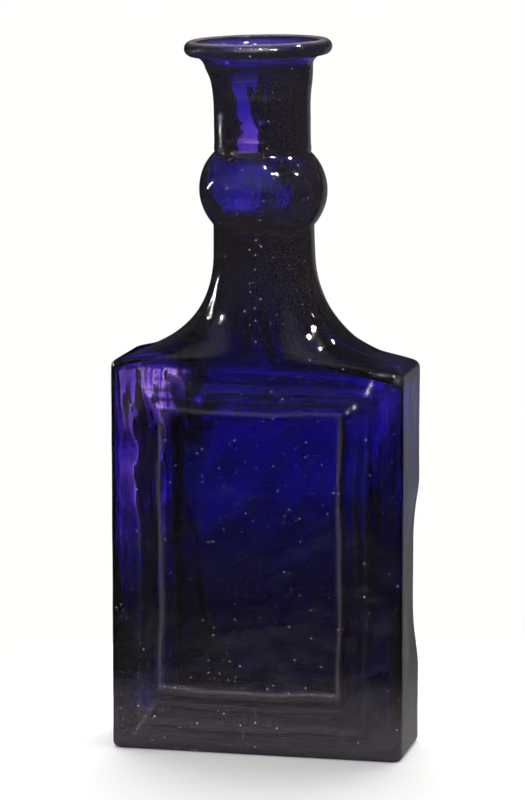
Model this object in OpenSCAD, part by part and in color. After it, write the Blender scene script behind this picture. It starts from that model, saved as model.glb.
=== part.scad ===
// Antique mould-blown glass bottle: a flat panelled body, a swept shoulder, a round
// knop in the neck and a wide rolled lip. Millimetres, +Z up, origin at the middle of
// the base. The front panel faces -Y and the dished narrow side faces +X.
// The glass is one piece; its nodes are the bottle's own parts, from base to lip,
// and meet face to face.

/* [Overall] */
// Height from the surface the bottle stands on to the top of the lip
height = 190; // [186:1:196]
// Thickness of the glass in the body and shoulder walls
wall = 4; // [3.6:0.1:4.4]

/* [Body] */
// Width of the body across its two narrow sides
body_w = 79; // [77:0.5:81]
// Depth of the body from front to back
body_d = 27.5; // [27:0.5:29]
// Height of the straight walls, up to the start of the shoulder
body_top = 102; // [101:0.5:103]
// Radius of the four upright edges
corner_r = 2.5; // [2:0.1:3]
// Thickness of the floor
floor_t = 8; // [7:0.5:9]
// Radius rolled along the bottom edges
heel_r = 1.4; // [1:0.1:1.8]
// Rise of the shallow hollow under the base
pushup = 1.2; // [0.8:0.1:1.6]

/* [Moulded panels] */
// Width of the moulded frame, outside
frame_w = 62.5; // [61:0.5:63]
// Height of the moulded frame, outside
frame_h = 91.5; // [90:0.5:92]
// Height of the frame's lower edge above the base
frame_z = 8; // [7.5:0.5:9]
// Sideways offset of the frame from the middle of the face
frame_x = -0.75; // [-1:0.25:1]
// Width of the frame's outer bevel
frame_bevel = 3; // [2.5:0.1:3.5]
// Depth of the outer bevel
frame_deep = 0.8; // [0.6:0.1:0.9]
// Width of the flat panel inside the frame
panel_w = 48.7; // [47:0.1:50]
// Height of the flat panel
panel_h = 75.6; // [74:0.1:77]
// Height of the panel's lower edge above the base
panel_z = 16.8; // [16:0.1:17.5]
// Sideways offset of the panel from the middle of the face
panel_x = -2.35; // [-2.5:0.05:0]
// Width of the inner bevel around the panel
panel_bevel = 2; // [1.5:0.1:2.2]
// Further depth of the flat panel below the frame
panel_deep = 0.9; // [0.6:0.1:1]

/* [Dished side] */
// Height of the dish along the narrow side
dish_h = 44; // [40:1:48]
// Width of the dish, which runs over the back edge
dish_w = 28; // [24:1:30]
// Depth at the dish's middle
dish_deep = 1.4; // [1:0.1:1.6]
// Height of the dish's middle above the base
dish_z = 46; // [42:1:50]
// Offset of the dish's middle towards the back
dish_y = 7; // [5:0.5:8]

/* [Shoulder] */
// Height where the roof's slope would meet the narrow side
eave_z = 105; // [104.4:0.1:105.4]
// Slope of the roof next to the eave, in degrees
roof_slope = 21.5; // [20:0.5:23]
// Radius rolled along the eave
eave_r = 2.2; // [1.8:0.1:2.4]
// Height where the shoulder becomes the round neck
shoulder_top = 134; // [133:0.5:135]

/* [Neck and lip] */
// Outer radius at the foot of the neck
neck_foot_r = 13.5; // [13.4:0.1:13.8]
// Height of the crease under the knop
knop_bottom = 141.2; // [140.8:0.1:141.6]
// Height of the crease above the knop
knop_top = 160.6; // [160.2:0.1:161]
// Largest outer radius of the knop
knop_r = 16.95; // [16.5:0.05:17.4]
// Radius of the knop's own curve, seen from the side
knop_curve = 14; // [13.5:0.1:14.5]
// Outer radius of the neck above the knop
neck_r = 12.8; // [12.6:0.1:13]
// Height where the neck starts to flare towards the lip
flare_z = 172; // [170:0.5:174]
// Radius of the bore, where a cork seats
bore_r = 9.5; // [9.2:0.1:9.8]
// Thickness of the glass at the knop's widest point
knop_wall = 3.85; // [3.5:0.05:4.2]
// Outer radius of the rolled lip
lip_r = 19.5; // [19:0.1:20]
// Half the height of the rolled lip
lip_roll = 2.05; // [1.9:0.05:2.2]
// Radius of the hollow curve under the lip
lip_under = 3.25; // [3:0.05:3.5]
// Radius of the mouth's inner rim
mouth_r = 16.2; // [16:0.1:16.4]

/* [Hidden] */
$fn = 96;
GLASS = [0.16, 0.07, 0.45, 0.75];
OVERCUT = 1;
// How much of the base's width and depth the hollow under it takes up
PUSHUP_SHARE = 0.65;

cavity_w = body_w - 2 * wall;
cavity_d = body_d - 2 * wall;
cavity_r = corner_r;

// The knop's curve is centred between its creases, a touch low
KNOP_SAG = 0.4;
knop_z = (knop_bottom + knop_top) / 2 - KNOP_SAG;
knop_offset = knop_r - knop_curve;
knop_foot_r = knop_offset + sqrt(pow(knop_curve, 2) - pow(knop_z - knop_bottom, 2));

lip_x = lip_r - lip_roll;
neck_top = height - 2 * lip_roll - lip_under;
neck_top_r = lip_x - lip_under;

// Shoulder loft: rings up the outline and points round each corner
CURVE_STEPS = 7;
ARC_STEPS = 4;
CORNER_STEPS = 8;

// Radius of the arc that rises `rise` over a chord
function arc_radius(chord, rise) = (chord * chord / 4 + rise * rise) / (2 * rise);

// Point at `s` along a cubic curve with control points p
function cubic(p, s) =
    pow(1 - s, 3) * p[0] + 3 * pow(1 - s, 2) * s * p[1]
    + 3 * (1 - s) * s * s * p[2] + pow(s, 3) * p[3];

function curve(p, steps) = [for (i = [1:steps]) cubic(p, i / steps)];

// Step of length `len` up a slope that rises towards the neck
function up_slope(len, slope) = len * [-cos(slope), sin(slope)];

// Outer outline as [half width, height]: rolled eave, sloping roof, sweep into the neck
eave_turn = 90 - roof_slope;
eave_centre = [body_w / 2 - eave_r, eave_z - eave_r * tan(eave_turn / 2)];
eave_arc = [for (i = [0:ARC_STEPS])
    eave_centre + eave_r * [cos(i * eave_turn / ARC_STEPS), sin(i * eave_turn / ARC_STEPS)]];
roof_start = eave_centre + eave_r * [cos(eave_turn), sin(eave_turn)];
roof_end = [28, body_top + 7.6];
SWEEP_SLOPE = 28;
// Lengths of the curves' handles, along the roof, past its end and down from the neck
ROOF_PULL = 4;
SWEEP_PULL = 3;
NECK_PULL = 17;
INNER_NECK_PULL = 20;
outer_roof = [roof_start, roof_start + up_slope(ROOF_PULL, roof_slope),
    roof_end - up_slope(ROOF_PULL, SWEEP_SLOPE), roof_end];
outer_sweep = [roof_end, roof_end + up_slope(SWEEP_PULL, SWEEP_SLOPE),
    [neck_foot_r, shoulder_top - NECK_PULL], [neck_foot_r, shoulder_top]];
outer_line = concat([[body_w / 2, body_top]], eave_arc,
    curve(outer_roof, CURVE_STEPS), curve(outer_sweep, 2 * CURVE_STEPS));

// Inner outline, one wall inside, with as many points as the outer one
inner_eave = [cavity_w / 2, body_top];
inner_bend = roof_end + wall * [-sin(SWEEP_SLOPE), -cos(SWEEP_SLOPE)];
inner_roof = [inner_eave, inner_eave + up_slope(ROOF_PULL, roof_slope),
    inner_bend - up_slope(ROOF_PULL, SWEEP_SLOPE), inner_bend];
inner_sweep = [inner_bend, inner_bend + up_slope(SWEEP_PULL, SWEEP_SLOPE),
    [bore_r, shoulder_top - INNER_NECK_PULL], [bore_r, shoulder_top]];
inner_line = concat([inner_eave], curve(inner_roof, CURVE_STEPS + ARC_STEPS + 1),
    curve(inner_sweep, 2 * CURVE_STEPS));

// Ring at an outline point: a rounded rectangle that turns into the neck's circle
function ring(point, half_w, half_d, edge_r, round_r) =
    let (
        turned = (half_w - point[0]) / (half_w - round_r),
        d = half_d + (round_r - half_d) * turned,
        r = edge_r + (round_r - edge_r) * turned * turned
    )
    [for (corner = [0:3], i = [0:CORNER_STEPS - 1])
        let (
            a = 90 * (corner + (i + 0.5) / CORNER_STEPS),
            side_x = (corner == 0 || corner == 3) ? 1 : -1,
            side_y = corner < 2 ? 1 : -1
        )
        [side_x * (point[0] - r) + r * cos(a), side_y * (d - r) + r * sin(a), point[1]]];

// Rectangle with true round corners, centred
module rounded_plan(w, d, r) {
    square([w - 2 * r, d], center = true);
    square([w, d - 2 * r], center = true);
    for (x = [-1, 1], y = [-1, 1])
        translate([x * (w / 2 - r), y * (d / 2 - r)]) circle(r);
}

// Side view of the base: square above, with its two lower corners rolled
module heel_outline(w) {
    translate([-w / 2, heel_r]) square([w, floor_t - heel_r]);
    translate([heel_r - w / 2, 0]) square([w - 2 * heel_r, floor_t]);
    for (x = [-1, 1]) translate([x * (w / 2 - heel_r), heel_r]) circle(heel_r);
}

// Cutter whose cap rises `deep` above z = 0 over an oval, long along X
module oval_cap(long, short, deep) {
    big = arc_radius(long, deep);
    small = arc_radius(short, deep);
    translate([0, 0, deep - big]) rotate([90, 0, 0])
        rotate_extrude($fn = 360) translate([big - small, 0]) intersection() {
            circle(small, $fn = 360);
            translate([small - 3 * deep, -small]) square([4 * deep, 2 * small]);
        }
}

// Cutter for a recess with mitred bevels, open at y = 0 and `deep` at its flat
module mitred_recess(w, h, bevel, deep) {
    intersection() {
        linear_extrude(h, center = true) bevel_outline(w, bevel, deep);
        rotate([0, 90, 0]) linear_extrude(w, center = true) bevel_outline(h, bevel, deep);
    }
}

module bevel_outline(w, bevel, deep) {
    polygon([[-w / 2, -OVERCUT], [w / 2, -OVERCUT], [w / 2, 0],
        [w / 2 - bevel, deep], [bevel - w / 2, deep], [-w / 2, 0]]);
}

// The frame's outer bevel and the deeper flat panel inside it, for the front face
module panel_cutter() {
    translate([frame_x, 0, frame_z + frame_h / 2])
        mitred_recess(frame_w, frame_h, frame_bevel, frame_deep);
    translate([panel_x, frame_deep, panel_z + panel_h / 2])
        mitred_recess(panel_w + 2 * panel_bevel, panel_h + 2 * panel_bevel,
            panel_bevel, panel_deep);
}

// Thick floor with rolled bottom edges and a shallow hollow underneath
module base() {
    color(GLASS) difference() {
        intersection() {
            linear_extrude(floor_t) rounded_plan(body_w, body_d, corner_r);
            rotate([90, 0, 0]) linear_extrude(body_d + OVERCUT, center = true)
                heel_outline(body_w);
            rotate([90, 0, 90]) linear_extrude(body_w + OVERCUT, center = true)
                heel_outline(body_d);
        }
        oval_cap(PUSHUP_SHARE * body_w, PUSHUP_SHARE * body_d, pushup);
    }
}

// Straight walls with a framed panel on the front and back and a dish in one side
module body() {
    color(GLASS) difference() {
        translate([0, 0, floor_t]) linear_extrude(body_top - floor_t)
            rounded_plan(body_w, body_d, corner_r);
        translate([0, 0, floor_t - OVERCUT]) linear_extrude(body_top - floor_t + 2 * OVERCUT)
            rounded_plan(cavity_w, cavity_d, cavity_r);
        for (turn = [0, 180]) rotate(turn) translate([0, -body_d / 2, 0]) panel_cutter();
        translate([body_w / 2, dish_y, dish_z]) rotate([0, -90, 0])
            oval_cap(dish_h, dish_w, dish_deep);
    }
}

// Hollow roof that narrows from the body's rectangle to the round neck
module shoulder() {
    outer = [for (p = outer_line) ring(p, body_w / 2, body_d / 2, corner_r, neck_foot_r)];
    inner = [for (p = inner_line) ring(p, cavity_w / 2, cavity_d / 2, cavity_r, bore_r)];
    rings = len(outer);
    n = len(outer[0]);
    skin = n * rings;
    points = [for (r = outer) each r, for (r = inner) each r];
    outside = [for (k = [0:rings - 2], i = [0:n - 1])
        let (a = k * n + i, b = k * n + (i + 1) % n) [a, a + n, b + n, b]];
    inside = [for (k = [0:rings - 2], i = [0:n - 1])
        let (a = skin + k * n + i, b = skin + k * n + (i + 1) % n) [a, b, b + n, a + n]];
    foot = [for (i = [0:n - 1]) let (j = (i + 1) % n) [i, j, skin + j, skin + i]];
    top = [for (i = [0:n - 1]) let (j = (i + 1) % n, t = n * (rings - 1))
        [t + i, skin + t + i, skin + t + j, t + j]];
    color(GLASS) polyhedron(points, concat(outside, inside, foot, top), convexity = 4);
}

// Round neck between the shoulder and the knop
module lower_neck() {
    color(GLASS) translate([0, 0, shoulder_top]) difference() {
        cylinder(knop_bottom - shoulder_top, neck_foot_r, knop_foot_r);
        translate([0, 0, -OVERCUT])
            cylinder(knop_bottom - shoulder_top + 2 * OVERCUT, bore_r, bore_r);
    }
}

// Ball-like swelling of the neck, hollow inside
module neck_knop() {
    knop_h = knop_top - knop_bottom;
    hollow_curve = arc_radius(knop_h, knop_r - knop_wall - bore_r);
    color(GLASS) rotate_extrude() difference() {
        intersection() {
            translate([knop_offset, knop_z]) circle(knop_curve);
            translate([0, knop_bottom]) square([knop_r, knop_h]);
        }
        translate([0, knop_bottom - OVERCUT]) square([bore_r, knop_h + 2 * OVERCUT]);
        translate([knop_r - knop_wall - hollow_curve, (knop_bottom + knop_top) / 2])
            circle(hollow_curve);
    }
}

// Straight neck with the cork's bore, flaring outwards near its top
module upper_neck() {
    flare_curve = arc_radius(2 * (neck_top - flare_z), neck_top_r - neck_r);
    color(GLASS) difference() {
        rotate_extrude() difference() {
            translate([0, knop_top]) square([neck_top_r, neck_top - knop_top]);
            translate([neck_r + flare_curve, flare_z]) circle(flare_curve, $fn = 360);
            translate([neck_r, knop_top - OVERCUT])
                square([lip_r, flare_z - knop_top + OVERCUT]);
        }
        translate([0, 0, knop_top - OVERCUT])
            cylinder(neck_top - knop_top + 2 * OVERCUT, bore_r, bore_r);
    }
}

// Rolled lip: trumpet mouth inside, round edge outside, hollow curve underneath
module lip() {
    funnel_r = mouth_r - bore_r;
    color(GLASS) translate([0, 0, neck_top]) rotate_extrude() difference() {
        union() {
            intersection() {
                translate([mouth_r, 0]) circle(funnel_r);
                square([mouth_r, funnel_r]);
            }
            translate([mouth_r - OVERCUT / 2, 0])
                square([lip_x - mouth_r + OVERCUT / 2, funnel_r - OVERCUT / 4]);
            translate([lip_x, lip_under + lip_roll]) circle(lip_roll);
        }
        translate([lip_x, 0]) circle(lip_under);
    }
}

base();
body();
shoulder();
lower_neck();
neck_knop();
upper_neck();
lip();
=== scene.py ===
import math
from collections import namedtuple

import bpy
import numpy as np
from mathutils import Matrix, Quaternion, Vector, noise


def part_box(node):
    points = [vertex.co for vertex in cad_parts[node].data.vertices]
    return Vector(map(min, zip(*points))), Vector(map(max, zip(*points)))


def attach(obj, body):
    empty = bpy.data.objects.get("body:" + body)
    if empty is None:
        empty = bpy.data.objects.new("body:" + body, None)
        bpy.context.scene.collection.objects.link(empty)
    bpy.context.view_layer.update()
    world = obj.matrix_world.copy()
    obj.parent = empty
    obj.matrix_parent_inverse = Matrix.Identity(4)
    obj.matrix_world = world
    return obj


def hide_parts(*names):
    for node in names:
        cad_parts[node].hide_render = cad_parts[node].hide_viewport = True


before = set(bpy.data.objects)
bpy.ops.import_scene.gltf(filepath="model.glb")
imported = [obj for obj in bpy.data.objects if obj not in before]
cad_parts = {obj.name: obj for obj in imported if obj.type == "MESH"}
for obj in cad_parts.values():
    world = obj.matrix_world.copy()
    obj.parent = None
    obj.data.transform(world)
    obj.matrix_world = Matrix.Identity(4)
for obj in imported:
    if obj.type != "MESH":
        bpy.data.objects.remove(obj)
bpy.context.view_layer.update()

# The bottle's visual model: one continuous skin of glass, outside and inside, with the
# moulded panels, the dished side, the leaning neck and the tilted lip as real geometry.
# Sizes in the mesh code are millimetres; MM turns them into Blender's metres.
MM = 0.001


def box_mm(node):
    low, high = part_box(node)
    return low / MM, high / MM


# ---------------------------------------------------------------- sizes from the frame
HALF_W, HALF_D, BODY_TOP = box_mm("body")[1]
FLOOR_TOP = box_mm("base")[1].z
SHOULDER_TOP = box_mm("lower_neck")[0].z
NECK_FOOT_R = box_mm("lower_neck")[1].x
KNOP_LOW, KNOP_HIGH = box_mm("neck_knop")[0].z, box_mm("neck_knop")[1].z
KNOP_R = box_mm("neck_knop")[1].x
LIP_LOW = box_mm("lip")[0].z
LIP_R, _, HEIGHT = box_mm("lip")[1]
UNDER_LIP_R = box_mm("upper_neck")[1].x

# ---------------------------------------------------------------- sizes of the glasswork
CORNER_R = 2.5        # upright edges
HEEL_R = 1.4          # bottom edges
PUSHUP = 1.2          # hollow under the base
EAVE_Z = BODY_TOP + 3.0  # where the roof's slope would meet the narrow side
EAVE_R = 2.2
ROOF_SLOPE = 21.5     # next to the eave, in degrees
SWEEP_SLOPE = 28.0    # where the roof starts to sweep up into the neck
ROOF_END = (28.0, BODY_TOP + 7.6)  # half width and height of that place
ROOF_ROUND = 11.0     # the roof is rounded over from front to back
KNOP_CURVE = 14.0     # the knop's own curve, seen from the side
NECK_R = 12.8
FLARE_Z = 172.0       # where the neck starts to flare towards the lip
LIP_ROLL = 2.05       # half the height of the rolled lip
LIP_UNDER = 3.25      # hollow curve under the lip
MOUTH_R = 16.2
BORE_R = 9.3
KNOP_WALL = 2.7       # glass at the knop's widest place

SIDE_WALL = 1.2       # glass in the narrow sides, near the top
FACE_WALL = 1.0       # glass in the broad faces before it is made uneven
CAVITY_R = 2.2        # upright edges of the cavity
CAVITY_FLOOR_R = 3.0  # bottom edges of the cavity
INNER_FLOOR = FLOOR_TOP + 1.0

VIEW_TURN = 12.64     # how far round from the front the camera stands, in degrees

LEAN = 0.017          # the neck leans to the left above this height
LEAN_FROM = 110.0
LIP_TILT = math.radians(1.2)
LIP_SHIFT = -0.8
RIGHT_DROP = 0.03     # the right half of the roof sags by this much of its distance out
SIDE_LOW = 3.0        # how much thicker the sides are low down
NECK_THICK = 1.6      # extra glass round the neck below the lip
NECK_DRAWN = 4.0      # glass missing where the neck was drawn thin
SHOULDER_THICK = 1.8  # extra glass in the shoulder and the foot of the neck
LIP_FRONT = 1.8       # extra glass in front, under the lip

# ---------------------------------------------------------------- fineness of the mesh
FRONT_STEP = 1.12     # between columns across a broad face
WALL_STEP = 1.2       # between rings up the straight walls
EDGE_STEP = 0.3       # between the extra ones at each edge of the moulded frame
SIDE_COLUMNS = 17
CORNER_STEPS = 6


# ---------------------------------------------------------------- small helpers
def smooth(t):
    """0 up to t = 0, 1 from t = 1, and an S-shaped rise between."""
    t = np.clip(t, 0.0, 1.0)
    return t * t * (3.0 - 2.0 * t)


def rise(t, start, reach):
    """0 up to the start, then a smooth rise to 1 over the reach."""
    return smooth((t - start) / reach)


def fall(t, end, reach):
    """A smooth fall from 1 over the reach before the end, and 0 from there."""
    return smooth((end - t) / reach)


def bump_at(x, z, cx, cz, rx, rz):
    """A soft round bump, 1 at its middle, with radii rx and rz."""
    return np.exp(-((x - cx) / rx) ** 2 - ((z - cz) / rz) ** 2)


def arc(centre, radius, start, end, steps):
    """Points along an arc; angles in degrees, the start left out."""
    angles = np.radians(np.linspace(start, end, steps + 1)[1:])
    return [(centre[0] + radius * math.cos(a), centre[1] + radius * math.sin(a)) for a in angles]


def line(start, end, steps):
    return [tuple(np.array(start) + (np.array(end) - np.array(start)) * i / steps)
            for i in range(1, steps + 1)]


def cubic(p, steps):
    p = np.array(p, float)
    s = np.linspace(0, 1, steps + 1)[1:, None]
    points = ((1 - s) ** 3 * p[0] + 3 * (1 - s) ** 2 * s * p[1]
              + 3 * (1 - s) * s * s * p[2] + s ** 3 * p[3])
    return [tuple(q) for q in points]


def up_slope(point, length, degrees):
    a = math.radians(degrees)
    return (point[0] - length * math.cos(a), point[1] + length * math.sin(a))


def stations(low, high, spacing, edges):
    """Places from low to high about `spacing` apart, with extra ones close to each edge."""
    places = list(np.linspace(low, high, int(round((high - low) / spacing)) + 1))
    for edge in edges:
        places = [p for p in places if abs(p - edge) > 1.5 * EDGE_STEP]
        places += [edge - EDGE_STEP, edge, edge + EDGE_STEP]
    return np.array(sorted(places))


def wobble(x, y, z, scale, seed):
    """Smooth noise from -1 to 1 at each point, `scale` millimetres across."""
    out = np.empty(x.shape)
    flat = out.ravel()
    for i, p in enumerate(zip(x.ravel(), y.ravel(), z.ravel())):
        flat[i] = noise.noise(Vector(p) / scale + Vector((seed, 2.3 * seed, -seed)))
    return out


# ---------------------------------------------------------------- moulded panel relief
# Each step of the frame: its outer edge, its bevel's width, its depth and its corners' radius.
FrameStep = namedtuple("FrameStep", "left right bottom top bevel deep corner")
FRAME_STEPS = (
    FrameStep(-33.6, 31.6, 6.4, 100.2, 2.0, 0.50, 2.0),
    FrameStep(-30.6, 28.4, 11.8, 97.2, 1.6, 0.45, 1.6),
    FrameStep(-28.1, 24.3, 14.9, 94.4, 1.9, 0.75, 1.2),
)
PANEL_DEEP = sum(step.deep for step in FRAME_STEPS)
MITRE_HIGHLIGHTS = (       # painted highlights along the frame's mitres: both ends and the strength
    ((31.6, 103.0), (29.8, 99.0), 2.6),
    ((26.6, 95.4), (26.3, 94.9), 2.6),
    ((25.0, 94.1), (24.8, 93.8), 2.6),
    ((-33.2, 4.0), (-28.2, 12.0), 0.4),
)
HIGHLIGHT_SPOTS = (        # painted highlights in front, on the lip and the right eave: middle and radii
    (3.0, 188.7, 6.0, 0.5),
    (34.2, 105.1, 2.0, 0.4),
    (38.2, 103.4, 0.8, 0.8),
)
CREASE_WIDE = 0.45    # reach of the pale line of dust and painted highlight in a crease
CREASE_DUST_AND_HIGHLIGHT = 0.33    # strength of that line,
LOWER_CREASE_HIGHLIGHT = 0.20  # how much brighter it is below the flat panel's top, a painted highlight,
FOOT_CREASE_HIGHLIGHT = 0.20  # and brighter again along its bottom, a painted highlight


def inside_by(x, z, left, right, bottom, top, corner):
    """Distance inside a rectangle with round corners; negative outside it."""
    px = np.abs(x - (left + right) / 2) - (right - left) / 2 + corner
    pz = np.abs(z - (bottom + top) / 2) - (top - bottom) / 2 + corner
    outside = np.hypot(np.maximum(px, 0), np.maximum(pz, 0))
    return corner - outside - np.minimum(np.maximum(px, pz), 0)


def panel_relief(x, z):
    """Depth of the moulded panel below the face, and the pale lines in its creases: dust and painted
    highlight.
    """
    wavy_x = x + 0.25 * np.sin(z / 9.0) + 0.12 * np.sin(z / 3.7 + 1.0)
    wavy_z = z + 0.30 * np.sin(x / 8.0 + 2.0) + 0.12 * np.sin(x / 3.1)
    depth = np.zeros(x.shape)
    crease = np.zeros(x.shape)
    for left, right, bottom, top, bevel, deep, corner in FRAME_STEPS:
        inside = inside_by(wavy_x, wavy_z, left, right, bottom, top, corner)
        t = inside / bevel
        depth += deep * (0.6 * np.clip(t, 0, 1) + 0.4 * smooth(t))
        crease = np.maximum(crease, deep ** 4 * np.exp(-((inside - bevel) / CREASE_WIDE) ** 2))
    # painted highlight: the crease lines are brighter below the panel's top and along its bottom
    crease_brightness = CREASE_DUST_AND_HIGHLIGHT + LOWER_CREASE_HIGHLIGHT * fall(z, 91.0, 3.0) + FOOT_CREASE_HIGHLIGHT * fall(z, 18.5, 2.0)
    return depth, crease * crease_brightness / FRAME_STEPS[-1].deep ** 4


# ---------------------------------------------------------------- columns round the bottle
FACE_TURN = 52.0      # half the turn that a broad face takes round the neck, in degrees
SIDE_TURN = 32.0      # and a narrow side
FLAT_HALF = HALF_W - CORNER_R


def make_columns():
    """For each column: multipliers of the section's half sizes, its normal and its turn."""
    edges_x = sorted({x for step in FRAME_STEPS for x in (
        step.left, step.left + step.bevel, step.right - step.bevel, step.right)})
    front = stations(-FLAT_HALF, FLAT_HALF, FRONT_STEP, edges_x) / FLAT_HALF
    side = np.linspace(-1, 1, SIDE_COLUMNS)
    columns = []
    for quarter in range(4):
        facing = math.radians(90 * quarter) - math.pi / 2
        nx, ny = round(math.cos(facing)), round(math.sin(facing))
        places, half_turn = (side, SIDE_TURN) if quarter % 2 else (front, FACE_TURN)
        for place in places:
            columns.append((nx - ny * place, ny + nx * place, math.cos(facing), math.sin(facing),
                            facing + math.radians(half_turn) * place))
        for share in np.arange(1, CORNER_STEPS) / CORNER_STEPS:
            normal = facing + math.pi / 2 * share
            turn = half_turn + (90 - FACE_TURN - SIDE_TURN) * share
            columns.append((nx - ny, ny + nx, math.cos(normal), math.sin(normal),
                            facing + math.radians(turn)))
    return np.array(columns).T


COL_X, COL_Y, COL_NX, COL_NY, COL_TURN = make_columns()


# ---------------------------------------------------------------- profiles, foot to mouth
def outer_profile():
    """Outside of the glass as rings: half width, half depth, corner radius, height, roundness.

    Roundness is 0 for a rounded rectangle and 1 for a circle."""
    rings = []
    for s in (0.12, 0.3, 0.5, 0.68, 0.82, 0.92):
        hollow = PUSHUP * (1 - smooth(s / 0.85))
        rings.append(((HALF_W - HEEL_R) * s, (HALF_D - HEEL_R) * s, CORNER_R * s, hollow, 0.0))
    for x, z in [(HALF_W - HEEL_R, 0.0)] + arc((HALF_W - HEEL_R, HEEL_R), HEEL_R, -90, 0, 5):
        inset = HALF_W - x
        rings.append((x, HALF_D - inset, max(CORNER_R - 0.5 * inset, 0.8), z, 0.0))
    edges_z = sorted({z for step in FRAME_STEPS for z in (
        step.bottom, step.bottom + step.bevel, step.top - step.bevel, step.top)})
    for z in stations(HEEL_R + WALL_STEP, BODY_TOP, WALL_STEP, edges_z):
        rings.append((HALF_W, HALF_D, CORNER_R, z, 0.0))
    turn = 90 - ROOF_SLOPE
    centre = (HALF_W - EAVE_R, EAVE_Z - EAVE_R * math.tan(math.radians(turn / 2)))
    eave = arc(centre, EAVE_R, 0, turn, 6)
    roof = cubic([eave[-1], up_slope(eave[-1], 4.5, ROOF_SLOPE),
                  up_slope(ROOF_END, -4.0, SWEEP_SLOPE), ROOF_END], 14)
    sweep = cubic([ROOF_END, up_slope(ROOF_END, 3.0, SWEEP_SLOPE),
                   (NECK_FOOT_R, SHOULDER_TOP - 17), (NECK_FOOT_R, SHOULDER_TOP)], 28)
    for x, z in eave + roof + sweep:
        turned = (HALF_W - x) / (HALF_W - NECK_FOOT_R)
        depth = HALF_D + (NECK_FOOT_R - HALF_D) * turned
        radius = CORNER_R + (ROOF_ROUND - CORNER_R) * smooth(turned / 0.34)
        rings.append((x, depth, radius, z, smooth(turned) ** 1.5))
    knop_z = (KNOP_LOW + KNOP_HIGH) / 2 - 0.4
    offset = KNOP_R - KNOP_CURVE
    low = math.degrees(math.asin((KNOP_LOW - knop_z) / KNOP_CURVE))
    high = math.degrees(math.asin((KNOP_HIGH - knop_z) / KNOP_CURVE))
    crease = offset + KNOP_CURVE * math.cos(math.radians(low))
    flare = UNDER_LIP_R - NECK_R
    flare_curve = ((LIP_LOW - FLARE_Z) ** 2 + flare ** 2) / (2 * flare)
    flare_turn = math.degrees(math.asin((LIP_LOW - FLARE_Z) / flare_curve))
    lip_x = LIP_R - LIP_ROLL
    roll_z = HEIGHT - LIP_ROLL
    neck = (line((NECK_FOOT_R, SHOULDER_TOP), (crease, KNOP_LOW), 5)
            + arc((offset, knop_z), KNOP_CURVE, low, high, 26)
            + [(NECK_R + 0.15, KNOP_HIGH + 0.5)]
            + line((NECK_R, KNOP_HIGH + 1.0), (NECK_R, FLARE_Z), 9)
            + arc((NECK_R + flare_curve, FLARE_Z), flare_curve, 180, 180 - flare_turn, 8)
            + arc((lip_x, LIP_LOW), LIP_UNDER, 180, 90, 8)
            + arc((lip_x, roll_z), LIP_ROLL, -90, 128, 22))
    return rings + [(x, x, x, z, 1.0) for x, z in neck]


def inner_profile():
    """Inside of the glass, from the mouth's rim down to the middle of the floor."""
    knop_h = KNOP_HIGH - KNOP_LOW
    bulge = KNOP_R - KNOP_WALL - BORE_R
    curve = (knop_h ** 2 / 4 + bulge ** 2) / (2 * bulge)
    turn = math.degrees(math.asin(knop_h / 2 / curve))
    mid = (KNOP_LOW + KNOP_HIGH) / 2
    bend_x = ROOF_END[0] - 3.2 * math.sin(math.radians(SWEEP_SLOPE))
    bend = (bend_x, ROOF_END[1] - 3.2 * math.cos(math.radians(SWEEP_SLOPE)))
    rim = (MOUTH_R - 0.1, HEIGHT - 0.4)
    neck = ([rim] + cubic([rim, (MOUTH_R + 2.0, HEIGHT - 3.0), (BORE_R + 0.6, HEIGHT - 6.0),
                           (BORE_R, FLARE_Z - 2.0)], 22)
            + line((BORE_R, FLARE_Z - 2.0), (BORE_R, KNOP_HIGH), 14)
            + arc((BORE_R + bulge - curve, mid), curve, turn, -turn, 16)
            + line((BORE_R, KNOP_LOW), (BORE_R, SHOULDER_TOP), 4))
    rings = [(x, x, x, z, 1.0) for x, z in neck]
    wall_x = HALF_W - SIDE_WALL
    sweep = cubic([(BORE_R, SHOULDER_TOP), (BORE_R, SHOULDER_TOP - 20),
                   up_slope(bend, 4.0, SWEEP_SLOPE), bend], 22)
    roof = cubic([bend, up_slope(bend, -4.0, SWEEP_SLOPE),
                  (wall_x - 1.0, BODY_TOP + 2.0), (wall_x, BODY_TOP - 1.0)], 12)
    face = HALF_D - FACE_WALL
    for x, z in sweep + roof:
        turned = (wall_x - x) / (wall_x - BORE_R)
        depth = face + (BORE_R - face) * turned
        radius = CAVITY_R + (ROOF_ROUND - 1.5 - CAVITY_R) * smooth(turned / 0.3)
        rings.append((x, depth, radius, z, smooth(turned) ** 1.5))
    floor_r = CAVITY_FLOOR_R
    for z in np.linspace(BODY_TOP - 1.0, INNER_FLOOR + floor_r, 60)[1:]:
        rings.append((wall_x, face, CAVITY_R, z, 0.0))
    for x, z in arc((wall_x - floor_r, INNER_FLOOR + floor_r), floor_r, 0, -90, 5):
        inset = wall_x - x
        rings.append((x, face - inset, max(CAVITY_R - 0.5 * inset, 1.0), z, 0.0))
    for s in (0.85, 0.65, 0.45, 0.25, 0.1):
        rings.append(((wall_x - floor_r) * s, (face - floor_r) * s, 1.0 * s, INNER_FLOOR, 0.0))
    return rings


def grid(rings):
    """Places x, y, z of every ring and column, and each ring's roundness spread out."""
    a, d, r, z, w = (np.array(rings)[:, i][:, None] for i in range(5))
    r = np.minimum(r, np.minimum(a, d))
    square_x = COL_X * (a - r) + COL_NX * r
    square_y = COL_Y * (d - r) + COL_NY * r
    x = (1 - w) * square_x + w * a * np.cos(COL_TURN)
    y = (1 - w) * square_y + w * d * np.sin(COL_TURN)
    return x, y, z + 0 * x, w + 0 * x


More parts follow.
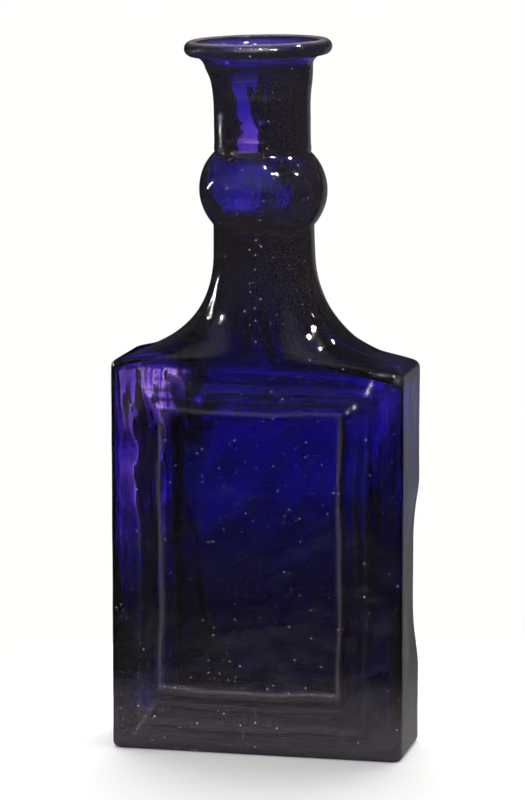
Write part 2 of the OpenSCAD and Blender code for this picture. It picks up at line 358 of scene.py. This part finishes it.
def outward(x, y, w):
    """Level direction out of the bottle: the section's normal low down, radial in the neck."""
    away = np.maximum(np.hypot(x, y), 1e-6)
    blend = rise(w, 0.3, 0.4)
    side_x = (1 - blend) * COL_NX + blend * x / away
    side_y = (1 - blend) * COL_NY + blend * y / away
    size = np.maximum(np.hypot(side_x, side_y), 1e-6)
    return side_x / size, side_y / size


DISH_DEEP = 1.5
DISH_Y, DISH_Z = 7.0, 47.0             # its middle
DISH_HALF_Y, DISH_HALF_Z = 15.5, 26.0  # and its half sizes


def side_dish(x, y, z):
    """Depth of the dish in the right side, over its back edge."""
    across = np.clip(1 - ((y - DISH_Y) / DISH_HALF_Y) ** 2, 0, 1)
    along = np.clip(1 - ((z - DISH_Z) / DISH_HALF_Z) ** 2, 0, 1)
    return DISH_DEEP * smooth(across * along * 1.2) * rise(x, 25.0, 10.0) * (z < BODY_TOP)


ROOF_DUST = 0.05      # from the panel's top up
NECK_DUST = 0.11      # and how much more towards the neck
# painted sheen low down, standing in for the floor mirrored in the lower glass
FOOT_SHEEN = 0.42
# painted highlight along the top of the lip's rim
RIM_HIGHLIGHT = 1.2
# strength of the painted highlights on those spots
SPOT_HIGHLIGHT = 1.3


def lay_dust_and_painted_light(x, y, z, on_front, crease_lines):
    """Dust and painted light on the outer skin: dust and painted highlight in the creases, dust from
    the roof up, a painted sheen low down, and painted highlights on the rim, the mitres and a few
    spots.
    """
    # painted highlight: a pale line round the top of the rim
    rim = np.exp(-((z - HEIGHT) / 0.5) ** 2) * rise(z, LIP_LOW, 2.0)
    dust_and_painted_light = crease_lines + ROOF_DUST * rise(z, BODY_TOP - 14.0, 8.0)
    # the second term is a painted sheen low down, fading out by 26 mm
    dust_and_painted_light = dust_and_painted_light + NECK_DUST * rise(z, BODY_TOP + 2.0, 24.0) + FOOT_SHEEN * fall(z, 26.0, 22.0)
    dust_and_painted_light = dust_and_painted_light + RIM_HIGHLIGHT * rim
    # painted highlights on a few spots in front
    for spot in HIGHLIGHT_SPOTS:
        dust_and_painted_light = dust_and_painted_light + SPOT_HIGHLIGHT * bump_at(x, z, *spot) * (y < 0)
    # painted highlights: pale lines along the mitres
    for (x1, z1), (x2, z2), weight in MITRE_HIGHLIGHTS:
        run_x, run_z = x2 - x1, z2 - z1
        along = np.clip(((x - x1) * run_x + (z - z1) * run_z) / (run_x ** 2 + run_z ** 2), 0, 1)
        away = np.hypot(x - x1 - along * run_x, z - z1 - along * run_z)
        dust_and_painted_light = dust_and_painted_light + weight * on_front * np.exp(-(away / CREASE_WIDE) ** 2)
    return dust_and_painted_light


def shape_outside(x, y, z, w):
    """Outer skin: panels, dish, soft unevenness, and the dust, painted highlights and painted sheen
    laid on it.
    """
    in_wall = (z > HEEL_R) & (z < BODY_TOP + 0.5)
    on_front = (COL_NY < -0.99) & in_wall
    on_back = (COL_NY > 0.99) & in_wall
    front_depth, front_crease_line = panel_relief(x, z)
    back_depth, back_crease_line = panel_relief(-x, z)
    y = y - COL_NY * (on_front * front_depth + on_back * back_depth)
    dust_and_painted_light = lay_dust_and_painted_light(x, y, z, on_front, on_front * front_crease_line + on_back * back_crease_line)
    x = x - side_dish(x, y, z)
    waves = 0.11 * wobble(x, y, z, 16.0, 1.7) + 0.04 * wobble(x, y, z, 5.0, 4.1)
    waves = waves * rise(z, 0.0, 3.0) * fall(z, HEIGHT + 1, 4.0)
    side_x, side_y = outward(x, y, w)
    return x + waves * side_x, y + waves * side_y, z, dust_and_painted_light


def broad_wall(x, z, middle, left, right, left_edge, right_edge):
    """Glass in a broad wall, thin at its upright edges and thick in the middle.

    Middle, left and right each give the glass high up, how much is added low down, the height
    below which it starts to be added, and the reach of that change."""
    def glass(high_up, added, start, reach):
        return high_up + added * fall(z, start, reach)

    thin = np.where(x < 0, glass(*left), glass(*right))
    across = rise(x, left_edge, 7.0) * fall(x, right_edge, 7.0)
    return thin + (glass(*middle) - thin) * across


def thinned_to(wall, least, share):
    """The wall brought a share of the way down to the least thickness."""
    return wall + (least - wall) * share


def front_wall(x, z, ragged):
    """Glass in the front wall, with a dark and a pale upright band and two pale corners."""
    wall = broad_wall(x, z, middle=(2.9, 2.4, 72.0, 50.0), left=(0.8, 4.0, 62.0, 45.0),
                      right=(1.5, 3.5, 90.0, 45.0), left_edge=-33.0, right_edge=31.0)
    band_right = -15.0 + 7.0 * ((z - 60.0) / 32.0) ** 2
    dark_band = rise(x, -23.5, 2.5) * fall(x, band_right, 7.0) * fall(z, BODY_TOP - 6.0, 4.0)
    pale_band = rise(x, -27.5, 1.5) * fall(x, -20.5, 2.0)
    wall = wall + 2.6 * dark_band - 0.9 * pale_band
    pale_foot = bump_at(x, z, -30.0, 9.0, 5.0, 5.0)
    wall = thinned_to(wall, 0.6, 0.9 * pale_foot)
    pale_corner = rise(z, BODY_TOP - 16.0 - 5.0 * ragged, 5.0) * fall(x, -12.0 + 9.0 * ragged, 7.0)
    return thinned_to(wall, 0.35, pale_corner)


def back_wall(x, z):
    """Glass in the back wall, with pale corners on the same side as the front's."""
    wall = broad_wall(x, z, middle=(2.3, 2.2, 72.0, 50.0), left=(0.8, 3.6, 58.0, 45.0),
                      right=(1.8, 3.5, 90.0, 45.0), left_edge=-37.0, right_edge=31.0)
    pale_foot = bump_at(x, z, -33.0, 7.0, 7.0, 7.0)
    wall = thinned_to(wall, 0.6, 0.9 * pale_foot)
    pale_corner = rise(z, BODY_TOP - 18.0, 7.0) * fall(x, -17.0, 9.0)
    return thinned_to(wall, 0.45, pale_corner)


def angle_from(turn, away):
    """Degrees round the neck, -180 to 180, from the camera's side or `away` from it."""
    seen = np.degrees(turn) + 90.0 - VIEW_TURN
    return (seen + 180.0 + away) % 360.0 - 180.0


def drawn_strip(turn, z, ragged):
    """1 where the neck's wall was drawn out thin: ragged upright strips in front and behind."""
    def strip(away, middle, half_width, raggedness, soft):
        inside = 1.0 - np.abs(angle_from(turn, away) - middle) / half_width
        return smooth((inside + raggedness * ragged) / soft)

    upper = rise(z, KNOP_HIGH - 2.6, 3.0) * fall(z, HEIGHT - 8.0, 4.0)
    in_front = strip(0.0, -25.0, 25.0, 0.5, 0.25)
    behind = strip(180.0, 28.0, 48.0, 0.2, 0.5)
    return upper * (in_front + behind)


def knop_unevenness(turn, z, ragged):
    """How much thinner the knop's wall is: thin low and high on the left, thick on the right."""
    front = angle_from(turn, 0.0)
    in_knop = rise(z, KNOP_LOW, 3.0) * fall(z, KNOP_HIGH, 3.0)
    low_left = bump_at(front, z, -18.0, KNOP_LOW + 4.8, 46.0, 5.0)
    high_left = bump_at(front, z, -22.0, KNOP_HIGH - 4.1, 30.0, 4.5)
    right = bump_at(front, z, 62.0, KNOP_HIGH - 7.6, 48.0, 9.0)
    return in_knop * (2.1 * low_left + 1.4 * high_left - 1.2 * right + 0.6 * ragged)


def place_inner_walls(x, y, z, w):
    """Inner skin of the body: each wall's thickness, the panels' depth and the dished side."""
    in_body = fall(z, BODY_TOP + 8.0, 10.0)
    in_panel = fall(np.abs(x), 34.0, 8.0) * fall(z, 100.0, 8.0) * rise(z, 6.0, 8.0)
    streaks = wobble(x * 6.0, 0 * y, z, 14.0, 5.7) + 0.6 * wobble(x * 5.0, 0 * y, z, 5.0, 6.3)
    ragged = wobble(x, 0 * y, z, 6.0, 8.7) + 0.7 * wobble(x, 0 * y, z, 2.6, 3.9)
    front_streaks = (0.25 + 0.55 * fall(x, -8.0, 10.0)) * streaks
    back_streaks = 0.3 * streaks
    panel = PANEL_DEEP * in_panel
    in_front, behind = smooth(-COL_NY) * in_body, smooth(COL_NY) * in_body
    y = y + in_front * (front_wall(x, z, ragged) - FACE_WALL + panel + front_streaks)
    y = y - behind * (back_wall(x, z) - FACE_WALL + panel + back_streaks)
    low_side = SIDE_LOW * fall(z, 62.0, 45.0)
    x = x - side_dish(x, y, z) * (z > INNER_FLOOR + 0.1)
    z = z + 1.6 * fall(x, -14.0, 9.0) * rise(z, BODY_TOP - 10.0, 8.0) * (w < 0.5)
    x = x - np.sign(x) * smooth(np.abs(COL_NX)) * in_body * low_side
    return x, y, z


def inner_bulge(x, y, z, w):
    """How far the inner skin stands out: soft waves, and thick and thin glass from the roof up."""
    turn = COL_TURN + 0 * x
    low = wobble(x, y, z, 14.0, 7.9)
    mid = wobble(x, y, z, 5.5, 3.3)
    fine = wobble(x, y, z, 2.2, 9.1)
    jagged = wobble(x, y, z, 1.1, 6.1)
    upright = wobble(turn * 26.0, 0 * y, z * 0.25, 4.0, 2.9)
    waves = np.where(w > 0.5, 0.30, 0.40) * low + 0.15 * mid + 0.04 * fine
    waves = waves * fall(z, HEIGHT - 1.5, 8.0) * rise(z, INNER_FLOOR, 5.0)
    thinned = drawn_strip(turn, z, mid + fine + 0.7 * jagged)
    drawn_out = (NECK_DRAWN - 1.2 * rise(z, FLARE_Z - 4.0, 8.0)) * thinned
    past_knop = fall(z, KNOP_LOW - 2.0, 4.0) + rise(z, KNOP_HIGH, 3.0)
    thick = NECK_THICK * fall(z, HEIGHT - 5.0, 6.0) * past_knop
    neck = rise(z, SHOULDER_TOP - 6.0, 8.0) * (drawn_out - thick)
    lip_front = rise(z, HEIGHT - 11.0, 4.0) * fall(z, HEIGHT - 2.0, 2.0) * fall(y, 0.0, 9.0)
    in_shoulder = rise(z, BODY_TOP + 1.0, 7.0) * fall(z, KNOP_LOW - 2.0, 8.0)
    shoulder = in_shoulder * (SHOULDER_THICK + 0.9 * upright)
    knop = knop_unevenness(turn, z, mid)
    return waves + neck - LIP_FRONT * lip_front - shoulder + knop


def shape_inside(x, y, z, w):
    """Inner skin: uneven wall thickness and soft waves."""
    x, y, z = place_inner_walls(x, y, z, w)
    bulge = inner_bulge(x, y, z, w)
    side_x, side_y = outward(x, y, w)
    return x + bulge * side_x, y + bulge * side_y, z


def lean_and_tilt(x, y, z):
    """The right of the roof sags, the neck leans to the left and its lip tips a little."""
    x = x - LEAN * np.maximum(z - LEAN_FROM, 0)
    near_eave = np.exp(-((z - BODY_TOP - 4.0) / 7.0) ** 2)
    z = z - RIGHT_DROP * np.maximum(x, 0) * near_eave
    in_lip = rise(z, LIP_LOW - 4.0, 6.0)
    axis_x = -LEAN * (HEIGHT - LEAN_FROM)
    z = z + in_lip * math.sin(LIP_TILT) * (x - axis_x)
    return x + LIP_SHIFT * in_lip, y, z


def skin_faces(rings, columns, foot, floor):
    """Quads between the rings, and fans that close the first ring on foot and the last on floor."""
    start = np.arange(rings - 1)[:, None] * columns
    here = np.arange(columns)[None, :]
    there = (here + 1) % columns
    corners = [start + here, start + there, start + there + columns, start + here + columns]
    faces = [tuple(int(v) for v in quad) for quad in np.stack(corners, -1).reshape(-1, 4)]
    end = (rings - 1) * columns
    for column in range(columns):
        after = (column + 1) % columns
        faces.append((foot, after, column))
        faces.append((floor, end + column, end + after))
    return faces


def build_bottle():
    x1, y1, z1, dust_and_painted_light = shape_outside(*grid(outer_profile()))
    x2, y2, z2 = shape_inside(*grid(inner_profile()))
    x, y, z = (np.concatenate(pair) for pair in ((x1, x2), (y1, y2), (z1, z2)))
    x, y, z = lean_and_tilt(x, y, z)
    z = np.maximum(z, 0.0)
    points = np.stack([x, y, z], -1).reshape(-1, 3)
    foot, floor = len(points), len(points) + 1
    points = np.concatenate([points, [[0, 0, PUSHUP], [0, 0, INNER_FLOOR]]]) * MM
    mesh = bpy.data.meshes.new("glass_bottle")
    mesh.from_pydata([tuple(p) for p in points], [], skin_faces(*x.shape, foot, floor))
    mesh.polygons.foreach_set("use_smooth", [True] * len(mesh.polygons))
    mesh.update()
    # dust inside the mouth, also painted light on its far wall
    mouth_dust_and_light = MOUTH_DUST_AND_LIGHT * rise(z2, HEIGHT - 9.0, 4.0)
    on_skin = np.concatenate([dust_and_painted_light.ravel(), mouth_dust_and_light.ravel(), [0.0, 0.0]])
    mesh.attributes.new("dust_and_painted_light", "FLOAT", "POINT").data.foreach_set("value", on_skin)
    piece = bpy.data.objects.new("glass_bottle", mesh)
    bpy.context.scene.collection.objects.link(piece)
    return piece


# ---------------------------------------------------------------- materials
GLASS_IOR = 1.5
GLASS_TINT = (1.0, 0.84, 1.0, 1)       # faintly purple, mostly seen in the haze
ABSORB_COLOR = (0.33, 0.14, 0.815, 1)  # (1 - this) * density is absorbed per metre
ABSORB_DENSITY = 1900.0
RIPPLE_SCALE = 330.0  # broad, soft waves of the skin
PEEL_SCALE = 1500.0   # a finer unevenness
GRIT_SCALE = 2600.0   # and the finest
PEEL_BUMP = 0.2       # height of the peel and the grit beside the ripple's
GRIT_BUMP = 0.18
BUMP_DEEP = 0.0003
BUMP_STRENGTH = 0.22
DULL_ROUGH = 0.10     # roughness of the dullest patches
FILM_ROUGH = 0.4      # and how much more where the film of dust and painted light lies
CELL_SCALE = 680.0    # cells about 1.5 mm across
SPECK_SHARE = 0.20    # share of the cells that hold a speck,
DUST_AND_LIGHT_SPECKS = 0.2    # and how much larger it is where dust and painted light lie
SPECK_SIZE = 0.12     # largest radius of a speck, in cells
HAZE = 0.012          # share of the light that even the cleanest skin scatters
DUST_AND_LIGHT_HAZE = 0.14      # and how much more where dust and painted light lie
GRAIN_FROM = 0.76     # grit above this shows as pale grains,
GRAIN_FULL = 0.98     # and above this in full
GRAIN_HAZE = 0.6
DUST_AND_LIGHT_GRAINS = 0.20   # how much lower those limits are where dust and painted light lie
MOUTH_DUST_AND_LIGHT = 0.50     # dust inside the mouth, and painted light brightening the mouth's backlit glass


def new_material(name):
    material = bpy.data.materials.new(name)
    material.use_nodes = True
    tree = material.node_tree
    tree.nodes.clear()
    return material, tree.nodes, tree.links


def plug(links, socket, value):
    """Links a socket into another, or sets a plain number."""
    if isinstance(value, (int, float)):
        socket.default_value = value
    else:
        links.new(value, socket)


def math_node(nodes, links, operation, *values):
    """The result of a Math node whose inputs are sockets or plain numbers."""
    node = nodes.new("ShaderNodeMath")
    node.operation = operation
    for socket, value in zip(node.inputs, values):
        plug(links, socket, value)
    return node.outputs["Value"]


def map_range(nodes, links, value, low, high, to_low, to_high, smoothly=False):
    """The value taken from the range low..high to the range to_low..to_high."""
    node = nodes.new("ShaderNodeMapRange")
    if smoothly:
        node.interpolation_type = "SMOOTHSTEP"
    links.new(value, node.inputs["Value"])
    ends = {"From Min": low, "From Max": high, "To Min": to_low, "To Max": to_high}
    for name, end in ends.items():
        plug(links, node.inputs[name], end)
    return node.outputs["Result"]


def glass_material():
    """Deep violet-blue glass: green is lost first, then red, and blue last.

    The skin is a little rippled, duller in patches, and has pale specks and a thin film of
    dust, thicker in the panel's creases, with painted highlights along the creases, mitres and rim and
    on a few spots, and a painted sheen low on the bottle."""
    material, nodes, links = new_material("violet_glass")
    output = nodes.new("ShaderNodeOutputMaterial")
    glass = nodes.new("ShaderNodeBsdfPrincipled")
    glass.inputs["Base Color"].default_value = GLASS_TINT
    glass.inputs["IOR"].default_value = GLASS_IOR
    absorb = nodes.new("ShaderNodeVolumeAbsorption")
    absorb.inputs["Color"].default_value = ABSORB_COLOR
    absorb.inputs["Density"].default_value = ABSORB_DENSITY
    coords = nodes.new("ShaderNodeTexCoord").outputs["Object"]
    # this attribute holds dust together with painted highlights and a painted sheen
    layer = nodes.new("ShaderNodeAttribute")
    layer.attribute_name = "dust_and_painted_light"
    dust_and_painted_light = layer.outputs["Fac"]

    def noise_texture(scale, detail):
        node = nodes.new("ShaderNodeTexNoise")
        node.inputs["Scale"].default_value = scale
        node.inputs["Detail"].default_value = detail
        links.new(coords, node.inputs["Vector"])
        return node.outputs["Fac"]

    def combine(operation, *values):
        return math_node(nodes, links, operation, *values)

    ripple = noise_texture(RIPPLE_SCALE, 3.0)
    peel = noise_texture(PEEL_SCALE, 2.0)
    grit = noise_texture(GRIT_SCALE, 1.0)

    # specks: small balls in some of the cells
    cells = nodes.new("ShaderNodeTexVoronoi")
    cells.inputs["Scale"].default_value = CELL_SCALE
    links.new(coords, cells.inputs["Vector"])
    chance = nodes.new("ShaderNodeSeparateColor")
    links.new(cells.outputs["Color"], chance.inputs["Color"])
    likely = combine("MULTIPLY_ADD", dust_and_painted_light, DUST_AND_LIGHT_SPECKS, SPECK_SHARE)
    chosen = combine("LESS_THAN", chance.outputs["Red"], likely)
    size = combine("MULTIPLY", chance.outputs["Green"], SPECK_SIZE)
    near = combine("LESS_THAN", cells.outputs["Distance"], size)
    speck = combine("MULTIPLY", chosen, near)

    # film: a thin haze everywhere, thicker where dust and painted light lie, and pale grains where grit
    # and that layer are high
    grain_and_glint = combine("MULTIPLY_ADD", dust_and_painted_light, DUST_AND_LIGHT_GRAINS, grit)
    haze = combine("MULTIPLY_ADD", dust_and_painted_light, DUST_AND_LIGHT_HAZE, HAZE)
    film = map_range(nodes, links, grain_and_glint, GRAIN_FROM, GRAIN_FULL, haze, GRAIN_HAZE)
    dirt_and_painted_light = combine("MAXIMUM", speck, film)
    links.new(combine("SUBTRACT", 1.0, dirt_and_painted_light), glass.inputs["Transmission Weight"])

    height = combine("MULTIPLY_ADD", grit, GRIT_BUMP, ripple)
    height = combine("MULTIPLY_ADD", peel, PEEL_BUMP, height)
    bump = nodes.new("ShaderNodeBump")
    bump.inputs["Distance"].default_value = BUMP_DEEP
    bump.inputs["Strength"].default_value = BUMP_STRENGTH
    links.new(height, bump.inputs["Height"])
    links.new(bump.outputs["Normal"], glass.inputs["Normal"])

    dull = map_range(nodes, links, ripple, 0.4, 0.75, 0.0, DULL_ROUGH)
    links.new(combine("MULTIPLY_ADD", dirt_and_painted_light, FILM_ROUGH, dull), glass.inputs["Roughness"])
    links.new(glass.outputs["BSDF"], output.inputs["Surface"])
    links.new(absorb.outputs["Volume"], output.inputs["Volume"])
    return material


def floor_material():
    material, nodes, links = new_material("pale_floor")
    output = nodes.new("ShaderNodeOutputMaterial")
    paint = nodes.new("ShaderNodeBsdfDiffuse")
    paint.inputs["Color"].default_value = (FLOOR_GREY, FLOOR_GREY, FLOOR_GREY, 1)
    links.new(paint.outputs["BSDF"], output.inputs["Surface"])
    return material


# ---------------------------------------------------------------- stage, light and camera
FLOOR_R = 0.12
FLOOR_MIDDLE = (0.0, 0.01, 0.0)
FLOOR_GREY = 0.93
DOME = 0.86           # light on the floor from all round
DOME_BEHIND = 2.9     # and from high up behind
LAMP_AIM = Vector((0.0, 0.0, 0.1))
LAMPS = (             # name, place, size in metres, power in watts, roll in degrees
    ("front_key", (0.456, -0.588, 0.748), (0.022, 0.022), 28.0, 0.0),
    ("high_key", (0.456, 0.233, 0.873), (0.02, 0.02), 24.0, 0.0),
    ("right_key", (0.787, -0.04, 0.60), (0.015, 0.015), 8.0, 0.0),
    ("top_key", (0.154, -0.467, 0.922), (0.012, 0.012), 4.0, 0.0),
    ("left_key", (-0.75, -0.50, 0.2), (0.015, 0.015), 1.6, 0.0),
    ("left_strip", (-0.672, 0.06, 0.22), (0.004, 0.39), 1.2, -51.0),
)
CAMERA_PITCH = 9.61   # how far it looks down, in degrees
CAMERA_AWAY = 1.1074  # metres from its target
CAMERA_LENS = 187.07  # millimetres
CAMERA_TARGET = Vector((-0.00094, 0.0, HEIGHT * MM / 2 - 0.00102))


def add_floor():
    bpy.ops.mesh.primitive_circle_add(vertices=96, radius=FLOOR_R, fill_type="NGON",
                                      location=FLOOR_MIDDLE)
    floor = bpy.context.object
    floor.name = "floor"
    floor.data.materials.append(floor_material())
    floor.visible_transmission = False
    floor.visible_glossy = False


def add_world():
    """A studio that differs for each kind of ray.

    The camera sees plain white, and the floor is lit by a dome, brighter high up behind. The
    glass passes on a wall that is bright on the left and dark on the right, and mirrors a dim
    room."""
    world = bpy.data.worlds.new("studio")
    bpy.context.scene.world = world
    world.use_nodes = True
    nodes, links = world.node_tree.nodes, world.node_tree.links
    nodes.clear()
    output = nodes.new("ShaderNodeOutputWorld")
    coords = nodes.new("ShaderNodeTexCoord")
    ray = nodes.new("ShaderNodeLightPath")

    def glow(direction, low, high, dim, bright):
        """From dim, where a ray and the direction have the dot product low, to bright at high."""
        near = nodes.new("ShaderNodeVectorMath")
        near.operation = "DOT_PRODUCT"
        near.inputs[1].default_value = Vector(direction).normalized()
        links.new(coords.outputs["Generated"], near.inputs[0])
        return map_range(nodes, links, near.outputs["Value"], low, high, dim, bright, smoothly=True)

    def background(strength):
        node = nodes.new("ShaderNodeBackground")
        node.inputs["Color"].default_value = (1, 1, 0.985, 1)
        plug(links, node.inputs["Strength"], strength)
        return node.outputs["Background"]

    def choose(fac, off, on):
        mix = nodes.new("ShaderNodeMixShader")
        links.new(fac, mix.inputs["Fac"])
        links.new(off, mix.inputs[1])
        links.new(on, mix.inputs[2])
        return mix.outputs["Shader"]

    def multiply(first, second):
        return math_node(nodes, links, "MULTIPLY", first, second)

    def add(first, second):
        return math_node(nodes, links, "ADD", first, second)

    up = (0.0, 0.0, 1.0)
    turn = math.radians(VIEW_TURN)
    right = (math.cos(turn), math.sin(turn), 0.0)
    ahead = (-math.sin(turn), math.cos(turn), 0.0)
    # what comes through the glass: bright behind on the left, dark behind on the right,
    # darker below the floor's level and dimmer high up
    lit_wall = multiply(glow(right, -0.80, -0.40, 0.0, 0.6), glow(ahead, 0.3, 0.6, 0.0, 1.0))
    dark_wall = multiply(glow(right, -0.04, 0.20, 0.0, 0.97), glow(ahead, 0.0, 0.4, 0.0, 1.0))
    undimmed = math_node(nodes, links, "SUBTRACT", 1.0, dark_wall)
    wall = multiply(add(lit_wall, 0.45), undimmed)
    above_floor = glow(up, -0.27, -0.15, 0.30, 1.0)
    under_roof = glow(up, 0.05, 0.35, 1.0, 0.6)
    through = background(multiply(wall, multiply(above_floor, under_roof)))
    # what the skin mirrors: a dim room in front with a pale band at the floor's far edge, a
    # soft light over the camera, and a little light behind on the right
    facing = glow((-0.22, -0.95, 0.0), 0.3, 0.8, 0.1, 1.0)
    near_floor = multiply(glow(up, -0.272, -0.222, 0.45, 0.0), glow(up, -0.32, -0.26, 0.1, 1.0))
    room = multiply(glow(up, 0.0, 0.18, 0.0, 0.3), glow(up, 0.4, 0.65, 1.0, 0.15))
    low_front = multiply(facing, add(near_floor, room))
    over_front = glow((-0.1, -0.70, 0.70), 0.8, 1.0, 0.0, 0.3)
    back_right = glow((0.25, 0.95, -0.20), 0.93, 0.99, 0.0, 0.20)
    mirrored = background(add(add(low_front, over_front), back_right))
    skylight = glow((-0.15, 0.75, 0.64), 0.5, 1.0, DOME, DOME_BEHIND)
    seen = choose(ray.outputs["Is Transmission Ray"], mirrored, through)
    lit = choose(ray.outputs["Is Diffuse Ray"], seen, background(skylight))
    shown = choose(ray.outputs["Is Camera Ray"], lit, background(1.0))
    links.new(shown, output.inputs["Surface"])


def add_lamps():
    """Small lamps that only the glass mirrors, aimed at the bottle."""
    for name, place, size, power, roll in LAMPS:
        data = bpy.data.lights.new(name, "AREA")
        data.shape = "RECTANGLE"
        data.size, data.size_y = size
        data.energy = power
        lamp = bpy.data.objects.new(name, data)
        lamp.location = place
        aimed = (LAMP_AIM - Vector(place)).to_track_quat("-Z", "Y")
        lamp.rotation_euler = (aimed @ Quaternion((0, 0, 1), math.radians(roll))).to_euler()
        lamp.visible_diffuse = False
        lamp.visible_transmission = False
        bpy.context.scene.collection.objects.link(lamp)


def add_camera():
    turn, pitch = math.radians(VIEW_TURN), math.radians(CAMERA_PITCH)
    ahead = Vector((-math.sin(turn) * math.cos(pitch), math.cos(turn) * math.cos(pitch),
                    -math.sin(pitch)))
    data = bpy.data.cameras.new("camera")
    data.lens = CAMERA_LENS
    data.clip_end = 50
    camera = bpy.data.objects.new("camera", data)
    camera.location = CAMERA_TARGET - ahead * CAMERA_AWAY
    camera.rotation_euler = ahead.to_track_quat("-Z", "Y").to_euler()
    bpy.context.scene.collection.objects.link(camera)
    bpy.context.scene.camera = camera


add_camera()
add_world()
add_lamps()
add_floor()

bottle = build_bottle()
bottle.data.materials.append(glass_material())
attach(bottle, "root")
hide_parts("base", "body", "shoulder", "lower_neck", "neck_knop", "upper_neck", "lip")

bpy.context.scene.view_settings.view_transform = "Standard"
